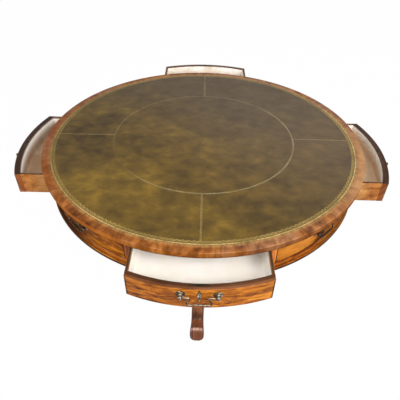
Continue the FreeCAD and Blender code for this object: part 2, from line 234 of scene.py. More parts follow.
def wood(name, way, shades, mottle=0.2, streaks=0.3, rough=(0.3, 0.45), shine=0.16,
         contrast=0.16):
    """Wood between three shades. mottle and streaks are the shares of those two patterns,
    and a smaller contrast number spreads the shades farther apart."""
    material, tree, shader = finish(name)
    grain = along_grain(tree, way)
    bands = noise(grain, (2.2, 17, 17), 3, 0.55, 0.6)
    thin = noise(grain, (9, 230, 230), 4, 0.6, 0.3)
    cloud = noise(grain, (17, 60, 60), 4, 0.65, 1.0)
    shade = bands * (1 - mottle - streaks) + (thin * streaks + cloud * mottle)
    dark, middle, light = shades
    tint = scale_of(shade, (0.5 - contrast, dark), (0.5, middle), (0.5 + contrast, light))
    pore = noise(grain, (45, 1300, 1300), 2, 0.5).fade(0.60, 0.72)
    tint = mixed(pore * 0.35, tint, dark, "MULTIPLY")
    coat(shader, tint, thin.fade(0.3, 0.7, rough[1], rough[0]),
         bump(thin * 0.3 - pore, 0.00012, 0.5), shine)
    return material


def edge_wood(name, light):
    """Dark polished wood of an edge, as light as that share."""
    shades = np.array([(32, 17, 8), (70, 42, 25), (98, 64, 42)]) * light
    return wood(name, "map", shades, mottle=0.15, shine=0.06)


amber = ((74, 32, 4), (144, 78, 12), (194, 122, 30))
figured = wood("figured mahogany", "map", amber, 0.5, 0.26, shine=0.09, contrast=0.10)
false_figured = wood("figured mahogany of the false fronts", "map", amber, 0.5, 0.26,
                     shine=0.03, contrast=0.10)
# The rail round the drum is painted in darker mahogany, as painted shade under the border.
rail_wood = wood("mahogany round the drum", "round",
                 ((52, 20, 6), (96, 46, 16), (130, 70, 30)), 0.3, rough=(0.45, 0.6),
                 shine=0.06)
upright = wood("upright mahogany", "z", ((92, 36, 8), (150, 76, 18), (196, 116, 40)), 0.15,
               contrast=0.1)
turned_wood = wood("turned mahogany", "map", ((48, 24, 10), (106, 62, 30), (140, 88, 48)))
leg_wood = wood("polished mahogany of the legs", "map",
                ((50, 24, 8), (104, 58, 26), (150, 94, 50)), 0.35, rough=(0.25, 0.38),
                contrast=0.12)
dark_edge = edge_wood("dark polished edge", 0.72)
rubbed_edge = edge_wood("rubbed edge of the front drawer", 1.38)
# The drawers' top edges are one wood in lit and shaded copies: painted lighter on the back
# drawer and darker on the left, as painted light and shade.
top_edge = {side: edge_wood(f"top edge of the {side} drawer", light)
            for side, light in (("front", 1.0), ("right", 0.98), ("back", 1.15),
                                ("left", 0.66))}
# Paler bead wood, rubbed and also a painted highlight, for the moulding's top fillet.
rubbed_bead_and_highlight = wood("rubbed bead with a painted highlight", "map", ((84, 38, 16), (150, 82, 44), (206, 146, 108)), 0.4,
                 rough=(0.25, 0.35), shine=0.2, contrast=0.1)
brown_bead = wood("brown bead", "map", ((66, 30, 8), (122, 66, 24), (164, 102, 48)), 0.3,
                  shine=0.09, contrast=0.1)
moulding_wood = wood("moulding round the drum's foot", "map",
                     ((80, 34, 8), (142, 76, 20), (186, 116, 42)), 0.35, rough=(0.4, 0.5),
                     shine=0.04, contrast=0.1)
board_top = wood("worn top edge of a board", "map",
                 ((50, 32, 20), (80, 56, 38), (116, 88, 62)), 0.3, rough=(0.5, 0.65),
                 shine=0.08)
front_end = wood("stained end of a front", "map", ((60, 26, 10), (116, 62, 24), (150, 90, 42)),
                 0.4, rough=(0.45, 0.6), shine=0.12, contrast=0.12)
carcase = wood("plain carcase wood", "x", ((120, 84, 52), (158, 118, 78), (182, 146, 104)),
               0.1, rough=(0.6, 0.75), shine=0.2)
pale_wood = wood("drawer back and bottom", "x",
                 ((160, 116, 74), (194, 150, 104), (214, 174, 130)), 0.1,
                 rough=(0.55, 0.7), shine=0.2)
print("kinds of wood:", len(bpy.data.materials))

# %% [markdown]
# ## Painted light and shade
#
# Some tints depend on the place alone, and all of them are painted light and shade. The
# false fronts and the moulding are painted darker far out to the left and right, and the
# false fronts high up on the right under the border, as painted shade. One false front is
# painted brighter in its middle, as painted light. On the legs the hollow behind the toe and
# the toe's flanks are painted dark, as painted shade. The toe is painted paler, with a
# painted highlight on its crest and dark streaks painted along the carving as its shade.

# %% Painted light and shade
def tinted(material, *layers):
    """Lays more colours over a material's own: layers are (share, colour)."""
    base = material.node_tree.nodes["Principled BSDF"].inputs["Base Color"]
    over = layered(Wire(base.links[0].from_socket), *layers)
    material.node_tree.links.new(over.socket, base)


# Painted shade: darker far out to the left and right, and high up on the right under the
# border.
for material in (false_figured, moulding_wood):
    across, _, level = add(material.node_tree, "TexCoord", {}, "Object").parts()
    far = most(across.fade(-0.43, -0.29, 0.85, 0.0), across.fade(0.34, 0.40, 0.0, 0.45))
    high = level.fade(-0.080, -0.060, 0.0, 0.35) * across.fade(-0.1, 0.2)
    tinted(material, (most(far, high), (50, 26, 8)))
    if material == false_figured:
        # Painted light: one false front is brighter in its middle.
        middle = across.fade(0.20, 0.28) * across.fade(0.34, 0.38, 0.4, 0.0)
        tinted(material, (middle, (206, 136, 52)))

tree = leg_wood.node_tree
_, reach, _ = polar(tree)
facing = add(tree, "TexCoord", {}, "Normal").parts()[2]
around = add(tree, "TexCoord", {}, "UV")
from_top = around.parts()[1].step("DIVIDE", 0.03).step("COSINE")
streak = noise(around, (8, 120, 1), 2, 0.5, 0.2)
# Painted highlight: a pale band on the toe's crest, on faces that look up.
crest = reach.fade(0.380, 0.387) * reach.fade(0.389, 0.397, 0.75, 0.0)
crest = crest * from_top.fade(0.50, 0.95) * streak.fade(0.40, 0.64, 1.0, 0.4)
# Painted light and shade: a paler toe, a dark hollow behind it, dark streaks along the
# carving, darker flanks, and the crest's highlight.
tinted(leg_wood,
       (reach.fade(0.340, 0.365, 0.0, 0.30), (142, 90, 66)),
       (reach.fade(0.318, 0.336) * reach.fade(0.338, 0.354, 0.65, 0.0), (40, 20, 8)),
       (reach.fade(0.350, 0.375) * streak.fade(0.45, 0.65, 0.0, 0.6), (60, 26, 18)),
       (reach.fade(0.300, 0.330) * from_top.fade(0.25, 0.75, 0.7, 0.0), (40, 24, 20)),
       (crest * facing.fade(0.2, 0.7), (236, 196, 178)))
# The finishes that carry painted light and shade.
print("wear laid on", [m.name for m in (false_figured, moulding_wood, leg_wood)])

# %% [markdown]
# ## Drawer wood, stained at the front
#
# The drawer sides were wiped with the polisher's stain near the front, where they show
# when the drawer is drawn out a little. Farther back the wood stays pale. The map's first
# number is the distance from the front, so the stain fades along it, and the second is
# another for each board, so that no two are alike.

# %% Drawer wood
def stained_side():
    """Pale wood that turns to the front's colour toward its front end."""
    material, tree, shader = finish("drawer side")
    grain = along_grain(tree, "map")
    from_front = grain.parts()[0]
    thin = noise(grain, (10, 180, 180), 4, 0.6, 0.3)
    bands = noise(grain, (3, 22, 22), 3, 0.5, 0.5)
    smears = noise(grain, (26, 40, 40), 4, 0.6, 0.3)
    pale = scale_of(thin * 0.4 + bands * 0.6, (0.34, (146, 96, 46)), (0.5, (174, 122, 66)),
                    (0.66, (196, 148, 90)))
    stain = scale_of(smears, (0.36, (112, 60, 20)), (0.5, (142, 84, 34)),
                     (0.64, (166, 108, 52)))
    share = (from_front + smears * 0.06).fade(0.05, 0.12, 1.0, 0.0)
    coat(shader, mixed(share, pale, stain), thin.fade(0.3, 0.7, 0.6, 0.45),
         bump(thin, 0.00012, 0.5), 0.15)
    return material


drawer_side = stained_side()
print("made:", drawer_side.name)

# %% [markdown]
# ## Crossbanding
#
# The border is veneer laid with its grain toward the middle. So its figure changes quickly
# round the circle and slowly across it. Age has made it blotchy: orange in some places and
# dull in others, with a dry, pale stretch beside the leather. On top of that it is painted
# duller and paler towards the right and back, with a pale patch on the right front: a
# painted sheen. The rim's upright face is painted darker on the right and orange on the
# left, as painted light and shade, and a dark line along its lower edge is painted shade.
# The rim's arris is rubbed lighter by hands and sleeves, but only here and there, and that
# pale line is also a painted highlight.

# %% Crossbanding
def crossbanding(name, shine):
    """Blotches and stripes toward the middle, from noise drawn out along the radius."""
    material, tree, shader = finish(name)
    along, radius, level = polar(tree)

    def drawn_out(share):
        return add(tree, "CombineXYZ", (along, radius * share, level * share))

    blotches = noise(drawn_out(0.8), 24.0, 3, 0.5, 0.6)
    stripes = noise(drawn_out(0.25), 95.0, 4, 0.6, 0.5)
    fine = noise(drawn_out(0.15), 420.0, 3, 0.6, 0.2)
    place = add(tree, "TexCoord", {}, "Object")
    x, y, _ = place.parts()
    # Random blotches of age, and a painted sheen: the gradient dulls the border towards the
    # right and back.
    age_and_sheen = noise(drawn_out(1.0), 6.0, 2, 0.5) + (x * 0.16 + y * 0.08)
    tone = blotches * 0.58 + (stripes * 0.28 + fine * 0.14)
    warm = scale_of(tone, (0.37, (76, 36, 12)), (0.5, (123, 70, 26)), (0.65, (166, 104, 48)))
    dull = scale_of(tone, (0.37, (84, 50, 30)), (0.5, (129, 83, 52)), (0.65, (162, 117, 80)))
    dry = radius.fade(0.5735, 0.5850, 1.0, 0.0) * stripes.fade(0.35, 0.65, 0.3, 0.9)
    at_rim = radius.fade(0.6000, 0.6010)
    upright_part = at_rim * level.fade(-0.0035, -0.0015, 1.0, 0.0)
    tint = layered(
        mixed(age_and_sheen.fade(0.40, 0.56), warm, dull),
        (x.fade(-0.56, -0.40, 0.45, 0.0), (112, 50, 2)),
        # Painted sheen: a pale patch on the outer border at the right front.
        (place.away_from(0.56, -0.17).fade(0.1, 0.3, 0.4, 0.0) * radius.fade(0.574, 0.584),
         (196, 148, 98)),
        (dry * x.fade(-0.50, -0.35, 0.4, 1.0), (160, 120, 70)),
        # Painted light and shade on the rim's upright face: darker on the right, orange on the
        # left.
        (upright_part * x.fade(-0.05, 0.25, 0.0, 0.55), (92, 48, 20)),
        (upright_part * x.fade(-0.28, -0.12, 0.4, 0.0), (190, 112, 44)),
        # A rubbed, paler arris here and there, which is also a painted highlight.
        (at_rim * level.fade(-0.0022, -0.0012) * blotches.fade(0.50, 0.62, 0.0, 0.4),
         (180, 120, 80)),
        # Painted shade: a dark line along the rim's lower edge.
        (level.fade(-0.0205, -0.0170, 0.8, 0.0) * at_rim, (44, 20, 8)))
    coat(shader, tint, fine.fade(0.3, 0.7, 0.45, 0.33), bump(fine, 0.0001, 0.4), shine)
    return material


crossband = crossbanding("crossbanding", 0.09)
rim_wood = crossbanding("crossbanding of the rim", 0.0)
print("made:", crossband.name, "and", rim_wood.name)

# %% [markdown]
# ## Leather with gilt tooling
#
# Old desk leather is dyed by hand, so it is cloudy, and paler where it is rubbed. Gold leaf
# is pressed into it with hot wheels: a line round the middle panel, lines from it to the
# four drawers, and round the edge a row of scallops and a twisted line. Each wheel's print
# is a rule on radius and angle, and noise wears the gold away in places. The middle panel
# ends at the radius PANEL.

# %% Leather
PANEL = 343.5


def leather():
    """Cloudy green-brown leather. A mask of lines and waves lays gold on it."""
    material, tree, shader = finish("tooled leather")
    place = add(tree, "TexCoord", {}, "Object")
    along, radius, level = polar(tree)
    x, y, _ = place.parts()

    def line(value, middle, width, soft=0.0006):
        """1 on a line of that width, and 0 beside it."""
        away = (value - middle).step("ABSOLUTE")
        return away.fade(width / 2, width / 2 + soft, 1.0, 0.0)

    def wave(length, height, turn=0.0):
        """A wave round the edge: the sine of the place along the circle."""
        return along.step("MULTIPLY_ADD", 2 * math.pi / length, turn).step("SINE") * height

    def rubbed(across, along_y, reach, share):
        """A soft round patch, in metres: that share in its middle, and 0 at its edge."""
        return place.away_from(across, along_y).fade(0.15 * reach, reach, share, 0.0)

    small = noise(place, (20, 25, 20), 4, 0.55, 0.3)
    tone = noise(place, (7.0, 8.0, 7.0), 3, 0.5, 0.3) * 0.5 + small * 0.5
    for patch in ((-0.28, -0.32, 0.26, 0.10), (-0.02, -0.10, 0.30, 0.05),
                  (-0.45, -0.02, 0.25, -0.09), (0.33, -0.38, 0.24, -0.05),
                  (0.0, -0.48, 0.14, 0.04), (0.42, 0.05, 0.25, 0.03)):
        tone = tone + rubbed(*patch)
    hide = scale_of(tone, (0.32, (56, 42, 18)), (0.46, (79, 61, 25)), (0.58, (97, 75, 28)),
                    (0.74, (124, 97, 34)))
    # Painted sheen: the leather is mixed towards grey-brown to the right and back, where its
    # sheen lies. It is also darker towards the back.
    hide = layered(hide, ((x + y).fade(-0.4, 0.5) * 0.6, (86, 72, 58)),
                   (y.fade(0.1, 0.5, 0.0, 0.4), (68, 54, 34)),
                   (line(radius, 0.5610, 0.0130, 0.003) * 0.45, (108, 88, 36)))

    from_axis = x.step("ABSOLUTE").step("MINIMUM", y.step("ABSOLUTE"))
    spokes = (line(from_axis, 0.0017, 0.0016) * radius.fade(0.3440, 0.3450)
              * radius.fade(0.5550, 0.5560, 1.0, 0.0))
    links = wave(0.0085, 1.0).fade(-0.5, 0.2, 0.25, 1.0)
    circle = most(line(radius, PANEL / 1000, 0.0060) * links,
                  line(radius, PANEL / 1000, 0.0014))
    circle = circle - circle * rubbed(-0.30, -0.17, 0.22, 0.8)
    scallop = line(radius + wave(0.0170, 0.0032), 0.5580, 0.0024)
    arcs = line(radius + wave(0.0170, 0.0026, math.pi), 0.5595, 0.0012)
    twist = most(line(radius + wave(0.0110, 0.0009), 0.5680, 0.0030),
                 line(radius + wave(0.0110, 0.0009, math.pi), 0.5680, 0.0030))
    kept = (noise(place, 160.0, 4, 0.65).fade(0.36, 0.56, 0.25, 1.0)
            * noise(place, 11.0, 3, 0.5).fade(0.30, 0.60, 0.45, 1.0))
    faint = most(circle * (x - y).fade(-0.30, 0.30, 0.20, 0.5), spokes * 0.37)
    bright = (most(twist, most(scallop, arcs) * 0.62) * y.fade(0.1, 0.5, 1.0, 0.5)
              * x.fade(-0.50, -0.35, 0.5, 1.0))
    gold = most(bright, faint) * kept

    leaf = mixed(radius.fade(0.40, 0.55), (182, 168, 128), (196, 166, 106))
    pebbles = add(tree, "TexVoronoi", {"Vector": place, "Scale": 800.0},
                  feature="DISTANCE_TO_EDGE")
    relief = pebbles.fade(0.0, 0.25) * 0.35 + (small - gold * 0.8)
    coat(shader, mixed(gold, hide, leaf), tone.fade(0.35, 0.65, 0.50, 0.42),
         bump(relief, 0.00016, 0.6), 0.12)
    feed(shader, {"Metallic": gold * 0.35})
    return material


hide = leather()
print("made:", hide.name)

# %% [markdown]
# ## Lining, brass and iron
#
# The drawers are lined with cream paper, and some linings carry painted shade. The brass was
# never cleaned in its corners: it is brown and old, and bright where fingers touch it, with a
# painted highlight on faces that look up. The dark brass is patina on the lock plates and
# painted shade on the handles. The iron is dull and dark.

# %% Lining and metals
def lining_paper(name, paper, floor_shade, shade_tint, edge):
    """Cream paper: two close shades by soft noise, with short fibres in the relief. The share
    after the paper's colour is that of a painted shade: a brown film on the floor, in the
    next colour, that fades out up the walls. A brown band is painted along the top, as deep
    as edge in metres."""
    material, tree, shader = finish(name)
    place = add(tree, "TexCoord", {}, "Object")
    level = place.parts()[2]
    soft = noise(place, 14.0, 4, 0.55)
    fibres = noise(place, (260, 700, 700), 3, 0.6, 1.2)
    tint = scale_of(soft * 0.7 + fibres * 0.3, (0.35, paper), (0.6, (254, 250, 243)))
    # Painted shade: a brown film darkens the floor and fades out up the walls.
    painted_shade = level.fade(-0.092, -0.050, floor_shade, 0.0) * soft.fade(0.3, 0.6, 0.75, 1.0)
    bare = level.fade(-0.0455 - edge, -0.0450 - edge, 0.0, 0.85)
    tint = layered(tint, (painted_shade, shade_tint), (bare, (92, 66, 42)))
    coat(shader, tint, fibres.fade(0.3, 0.7, 0.85, 0.7), bump(fibres, 0.0001, 0.4), 0.2)
    return material


def metal(name, dull, clean, rough, wear, upward=0.0):
    """Metal between a dull and a clean colour: noise says where it is rubbed clean, and
    upward paints more of the clean colour on faces that look up, a painted highlight."""
    material, tree, shader = finish(name)
    place = add(tree, "TexCoord", {}, "Object")
    specks = noise(place, 900.0, 3, 0.6)
    facing = add(tree, "TexCoord", {}, "Normal").parts()[2]
    rubbed = noise(place, 130.0, 4, 0.6, 0.6) * 0.7 + specks * 0.3
    # Painted highlight: faces that look up get more of the clean colour.
    bare = (facing * upward + rubbed).fade(*wear)
    feed(shader, {"Base Color": mixed(bare, dull, clean), "Metallic": 0.9,
                  "Roughness": bare.step("MULTIPLY_ADD", rough[1] - rough[0], rough[0]),
                  "Normal": bump(specks, 0.00008, 0.5)})
    return material


# The linings of the side and back drawers are painted darker on their floors and low on their
# walls, as painted shade. The back's paper is darker and the side drawers' brown bands along
# the top are wider, painted shade too.
linings = {
    "front": lining_paper("cream lining", (248, 241, 226), 0.0, (0, 0, 0), 0.0006),
    "back": lining_paper("shaded lining", (218, 200, 176), 0.5, (206, 184, 156), 0.0006),
    "left": lining_paper("lining with deep painted shade", (244, 235, 216), 0.95, (178, 140, 104), 0.0040),
    "right": lining_paper("lining with light painted shade", (244, 235, 216), 0.9, (218, 180, 138),
                          0.0012)}
brass = metal("old brass", (58, 46, 32), (186, 172, 148), (0.5, 0.28), (0.52, 0.74), 0.16)
rubbed_brass_and_glint = metal("rubbed brass with a painted glint", (70, 56, 40), (226, 216, 200), (0.45, 0.2),
                     (0.42, 0.66), 0.12)
patina_and_shade_brass = metal("dark brass, patina and painted shade", (64, 46, 32), (132, 108, 70), (0.55, 0.35), (0.54, 0.76))
iron = metal("dull iron", (38, 34, 32), (96, 90, 84), (0.7, 0.45), (0.5, 0.75))
shadow, _, shader = finish("inside of a keyhole")
feed(shader, {"Base Color": colour(20, 14, 10), "Roughness": 0.9})
print("finishes made:", len(bpy.data.materials))

# %% [markdown]
# ## Surfaces from grids
#
# Every new piece is made of grids of points: rows and columns that numpy works out all at
# once. A grid that meets itself or its neighbour has the same points there, and merging
# them closes the piece. A board is two grids, one for each face, joined round their edges.
#
# The fronts lie between the radii DRUM and INNER. Half a drawer's width and half its
# lining's are x, their rear ends are y, and the floor, a drawer's top and foot and a
# keyhole's middle are z, counted from the leather.

# %% Helpers for meshes
def stacked(*parts):
    """Points from their x, y and z, or places on the map from their two numbers."""
    return np.stack(np.broadcast_arrays(*parts), axis=-1)


def capped(rings):
    """Rings with their first and last closed, each by a fan to the ring's middle."""
    ends = [np.broadcast_to(ring.mean(axis=0), ring.shape) for ring in rings[[0, -1]]]
    return np.concatenate([ends[:1], rings, ends[1:]])


def make_piece(name, patches, finishes, body, node, sharp=32.0):
    """One mesh object from patches, which are (points in mm, map in metres, finish number).

    Points has the shape (rows, columns, 3), and the map (rows, columns, 2). The finish is
    one number, or one for each face. Points that meet are merged, and faces turned outward.
    """
    places, corners, maps, numbers = [], [], [], []
    first = 0
    for points, spread, number in patches:
        rows, columns = points.shape[:2]
        index = np.arange(rows * columns).reshape(rows, columns)
        corner = stacked(index[:-1, :-1], index[:-1, 1:], index[1:, 1:],
                         index[1:, :-1]).reshape(-1, 4)
        places.append(points.reshape(-1, 3))
        corners.append(corner + first)
        maps.append(spread.reshape(-1, 2)[corner.ravel()])
        numbers.append(np.broadcast_to(np.ravel(number), len(corner)))
        first += rows * columns
    mesh = bpy.data.meshes.new(name)
    mesh.from_pydata((np.concatenate(places) / 1000).tolist(), [],
                     np.concatenate(corners).tolist())
    mesh.uv_layers.new(name="UVMap").data.foreach_set("uv", np.concatenate(maps).ravel())
    mesh.polygons.foreach_set("material_index", np.concatenate(numbers).astype(np.int32))
    shape = bmesh.new()
    shape.from_mesh(mesh)
    bmesh.ops.remove_doubles(shape, verts=shape.verts, dist=4e-6)
    bmesh.ops.recalc_face_normals(shape, faces=shape.faces)
    loose = sum(not edge.is_manifold for edge in shape.edges)
    shape.to_mesh(mesh)
    shape.free()
    for material in finishes:
        mesh.materials.append(material)
    mesh.shade_smooth()
    mesh.set_sharp_from_angle(angle=math.radians(sharp))
    piece = bpy.data.objects.new(name, mesh)
    bpy.context.scene.collection.objects.link(piece)
    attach(piece, body)
    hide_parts(node)
    print(f"{name}: {len(mesh.polygons)} faces, {loose} open edges")


def board(front, back, spread, face=0, back_face=0, edges=(0, 0, 0, 0), depth=0.02):
    """A closed board between two grids. The edges are those of the first and last row and
    the first and last column. An edge may have two finishes: for two fifths and the rest."""
    patches = [(front, spread, face), (back, spread, back_face)]
    cuts = (np.s_[0, :], np.s_[-1, :], np.s_[:, 0], np.s_[:, -1])
    for cut, number in zip(cuts, edges):
        rim = np.stack([front[cut], 0.6 * front[cut] + 0.4 * back[cut], back[cut]])
        rim_map = spread[cut] + np.array([0, 0.4, 1])[:, None, None] * (0, depth)
        number = np.repeat(np.broadcast_to(number, 2), rim.shape[1] - 1)
        patches.append((rim, rim_map, number))
    return patches


def holed(points, spread, number, top, left):
    """Four patches round a hole in one. top and left are its first and last row and column."""
    number = np.broadcast_to(number, np.subtract(points.shape[:2], 1))
    (r0, r1), (c0, c1), (rows, columns) = top, left, number.shape
    return [(points[a:b + 1, c:d + 1], spread[a:b + 1, c:d + 1], number[a:b, c:d])
            for a, b, c, d in ((0, rows, 0, c0), (0, rows, c1, columns),
                               (0, r0, c0, c1), (r1, rows, c0, c1))]


def hole_edge(grid, top, left):
    """The closed loop of a grid's points round such a hole."""
    (r0, r1), (c0, c1) = top, left
    return np.concatenate([grid[r0, c0:c1], grid[r0:r1, c1], grid[r1, c1:c0:-1],
                           grid[r1:r0:-1, c0], grid[r0:r0 + 1, c0]])


def lathe(profile, steps, axis="z", reach=ROUND):
    """A turned surface: each (radius, level) goes round a circle. The map runs along a
    circle of that reach and along the profile."""
    profile = np.array(profile, float)
    angle = np.radians(np.linspace(0, 360, steps + 1))[:, None]
    radius, level = profile[:, 0], profile[:, 1]
    ring = stacked(radius * np.cos(angle), radius * np.sin(angle), level)
    if axis == "y":
        ring = ring[..., [0, 2, 1]] * (1, -1, 1)
    length = np.concatenate([[0], np.cumsum(np.hypot(*np.diff(profile, axis=0).T))]) / 1000
    return ring, stacked(angle * reach, length)


def turned(patches, degrees, shift=(0, 0, 0), slide=0.0):
    """Copies of patches, moved and then turned about the table's axis. slide moves the map,
    so that the grain differs."""
    angle = math.radians(degrees)
    turn = np.array([[math.cos(angle), math.sin(angle), 0],
                     [-math.sin(angle), math.cos(angle), 0], [0, 0, 1]])
    return [((points + shift) @ turn, spread + (slide, 0.61 * slide), number)
            for points, spread, number in patches]


def spun(patches, turns, slide=0.0, step=0.0):
    """Copies of patches at each of those turns. The map is moved by slide for the first
    and by step more for each other."""
    return [patch for number, turn in enumerate(turns)
            for patch in turned(patches, turn, slide=slide + step * number)]


def rounded(points, steps):
    """A smooth curve through points: on each span a cubic that leaves a point along the
    line between its neighbours."""
    points = np.asarray(points, float)
    ends = np.concatenate([[2 * points[0] - points[1]], points, [2 * points[-1] - points[-2]]])
    t = (np.arange(steps) / steps)[:, None, None]
    a, b, c, d = ends[:-3], ends[1:-2], ends[2:-1], ends[3:]
    curve = 0.5 * (2 * b + (c - a) * t + (2 * a - 5 * b + 4 * c - d) * t**2
                   + (3 * b - a - 3 * c + d) * t**3)
    return np.concatenate([curve.transpose(1, 0, 2).reshape(-1, points.shape[1]), points[-1:]])


def eased(distance, radius):
    """How far a rounded arris lies below the face: a quarter circle near the edge."""
    inside = np.clip(radius - distance, 0, radius)
    return radius - np.sqrt(radius**2 - inside**2)


FLOOR = -760
DRUM, INNER = 569.0, 549.0
DRAWER_HALF, LINING_HALF = 209.2, 199.7
DRAWER_TOP, DRAWER_FOOT = -44.3, -124.8
DRAWER_REAR, LINING_REAR = -235.0, -245.0
KEYHOLE = -76.5
DRAWER_TURN = {"front": 0, "right": 90, "back": 180, "left": 270}
OPENING = {"front": 122.5, "right": 132.0, "back": 240.0, "left": 141.0}
FALSE_TURN = {"front_right": 45, "back_right": 135, "back_left": 225, "front_left": 315}


def on_drawer(patches, side):
    """Patches of the shut front drawer, pulled out and turned to their own side."""
    number = list(DRAWER_TURN).index(side)
    return turned(patches, DRAWER_TURN[side], (0, -OPENING[side], 0), 1.37 * number)


def on_each_drawer(name, replaced, patches, finishes, part="", sharp=32.0):
    """The same piece for each drawer. finishes gives the list for a side."""
    for side in DRAWER_TURN:
        make_piece(f"{side}_drawer_{name}", on_drawer(patches, side), finishes(side),
                   f"{side}_drawer{part}", f"{side}_drawer_{replaced}", sharp)


print("helpers for meshes ready")

# %% [markdown]
# ## The border of the top
#
# The border is one turned ring: flat above, with an arris worn round, an upright rim and a
# small ease below. A plain cylinder would have edges too sharp to catch the light.

# %% Border
border_profile = [
    (566, -21.5), (566, -1.6), (571, -1.6), (571, -0.5), (571.3, -0.1), (572, 0), (583, 0.1),
    (598.6, 0), (600, -0.25), (601, -0.9), (601.7, -1.8), (602, -3), (602, -19.3),
    (601.7, -20.5), (601, -21.2), (599.8, -21.5), (583, -21.5), (566, -21.5)]
ring, spread = lathe(border_profile, 240)
on_rim = (np.arange(len(border_profile) - 1) > 9).astype(int)
make_piece("border", [(ring, spread, np.tile(on_rim, (240, 1)))], [crossband, rim_wood],
           "drum", "top_border")

# %% [markdown]
# ## Leather panels
#
# Five panels lie on the ground board: a disc, and four quarters that meet on the drawers'
# middle lines. The hot wheels press the leather down, so the grids have their rows close
# together there, and each row's level follows the dents.

# %% Leather panels
def dent(distance, width, depth):
    """The dent of a wheel: a bell curve across its line."""
    return -depth * np.exp(-(distance / width) ** 2)


def leather_level(radius, from_axis):
    """The surface's level: dents on the circle, on the outer lines and beside the axes."""
    level = sum(dent(radius - line, width, depth) for line, width, depth in
                ((PANEL, 2.2, 0.35), (558, 2.0, 0.30), (546.5, 3.5, 0.18), (566, 3.5, 0.18)))
    return level + np.clip((radius - PANEL) / 2, 0, 1) * dent(from_axis, 1.4, 0.35)


near = np.array([0, 0.5, 1, 1.6, 2.4, 3.4, 5, 8])
radii = np.concatenate([[0, 60, 120, 180, 240, 290, 320], PANEL - 0.1 - near[::-1]])
ring, spread = lathe(stacked(radii, leather_level(radii, 99)), 180)
under = ring.copy()
under[..., 2] = -1.5
panels = [(ring, spread, 0), (under, spread, 0),
          (np.stack([ring[:, -1], under[:, -1]]), np.stack([spread[:, -1]] * 2), 0)]

radii = np.concatenate([PANEL + 0.1 + near, [370, 410, 450, 490, 520, 538],
                        np.arange(541, 571, 1.5), [570.8]])
offset = np.concatenate([[0.1], near[1:], [14, 22]])
angles = np.degrees(np.arcsin(offset / 571))
angles = np.concatenate([angles, np.linspace(4, 86, 42), 90 - angles[::-1]])
radius, angle = np.meshgrid(radii, np.radians(angles))
x, y = radius * np.sin(angle), -radius * np.cos(angle)
top = stacked(x, y, leather_level(radius, np.minimum(x, -y)))
quarter = board(top, stacked(x, y, -1.5), top[..., :2] / 1000)
make_piece("leather", panels + spun(quarter, DRAWER_TURN.values()), [hide], "drum",
           "leather_panels", 50.0)

# %% [markdown]
# ## Bowed fronts
#
# A drawer front is a board bowed to the drum's curve, with a cockbead round it: a half-round
# strip that stands a little proud and meets itself in mitres. The depth of each point below
# the drum's curve depends on its distance to the nearest edge, and that alone makes the
# mitres. A keyhole is cut where the distance to the middle is small. The four false fronts
# between the drawers are made in the same way, but with ends that point to the middle. They
# fill what a drawer and its uprights leave, which take 24.07 degrees each way. A drawer's
# front also has a well in its top edge, SLOT_HALF to each side, for the lock bolt.

# %% Bowed fronts
BEAD = 3.4
SLOT_HALF = 8.5
FRONT_LINES = np.concatenate([BEAD / 2 * (1 - np.cos(np.radians(np.arange(0, 181, 22.5)))),
                              [BEAD + 0.5, BEAD + 1.2]])


def in_keyhole(x, z):
    """Whether a point lies inside the keyhole's rectangle."""
    return (np.abs(x) < 1.6) & (np.abs(z - KEYHOLE) < 5.1)


def bowed_front(place, half, low, high):
    """Patches of a beaded front. place(x, depth) gives a point's x and y on the curve."""
    across = np.concatenate([FRONT_LINES, np.linspace(9, half - 14, 25),
                             half - np.array([SLOT_HALF, 5, 1.75, 1.5])])
    across = np.concatenate([across - half, (half - across)[::-1]])
    upward = np.concatenate([low + FRONT_LINES, [low + 12, -98, -90],
                             KEYHOLE + np.array([-5.25, -5, 5, 5.25]), [-66, -58],
                             (high - FRONT_LINES)[::-1]])
    x, z = np.meshgrid(across, upward)
    to_end, to_edge = half - np.abs(x), np.minimum(z - low, high - z)
    distance = np.minimum(to_end, to_edge)
    crest = 1.6 * np.sqrt(np.clip(1 - (distance * 2 / BEAD - 1) ** 2, 0, 1))
    depth = 1.0 - np.where(distance <= BEAD, crest, 0)
    depth = depth + np.where(np.abs(distance - BEAD - 0.5) < 0.1, 0.5, 0)
    depth = np.where(in_keyhole(x, z), 8.0, depth)
    front, back = stacked(*place(x, depth), z), stacked(*place(x, DRUM - INNER), z)
    spread = stacked(x, z) / 1000
    x, z, to_end, to_edge, distance = ((grid[1:, 1:] + grid[:-1, :-1]) / 2
                                       for grid in (x, z, to_end, to_edge, distance))
    finishes = np.where(distance < BEAD, np.where(to_end < to_edge, 1, 2), 0)
    finishes = np.where(in_keyhole(x, z), 3, finishes)
    return board(front, back, spread, finishes, 1, (1, (5, 1), 4, 4))


def bolt_well(front, back, spread):
    """The top edge of a drawer front, between its two long lines, with a well for the lock
    bolt. Beside the well the rows run together into one line at the back."""
    beside = np.abs(front[:, 0]) > SLOT_HALF + 0.01
    share = np.array([0, 0.4, 0.54, 0.87, 1])[:, None]
    share = np.where(beside & (share > 0.5), 1, share)[..., None]
    rim = front + share * (back - front)
    inner = np.flatnonzero(~beside)
    rows, columns = (2, 3), (inner[0], inner[-1])
    number = np.repeat([[5], [1], [1], [1]], len(front) - 1, axis=1)
    edge = hole_edge(rim, rows, columns)
    floor = edge - (0, 0, 26.5)
    well = np.stack([edge, floor, np.broadcast_to(floor.mean(axis=0), floor.shape)])
    return (holed(rim, spread + share * (0, 0.02), number, rows, columns)
            + [(well, well[..., [0, 2]] / 1000, 3)])


def drawer_curve(x, depth):
    """On a drawer the ends are parallel: y follows from x on the circle."""
    return x, -np.sqrt((DRUM - depth) ** 2 - x**2)


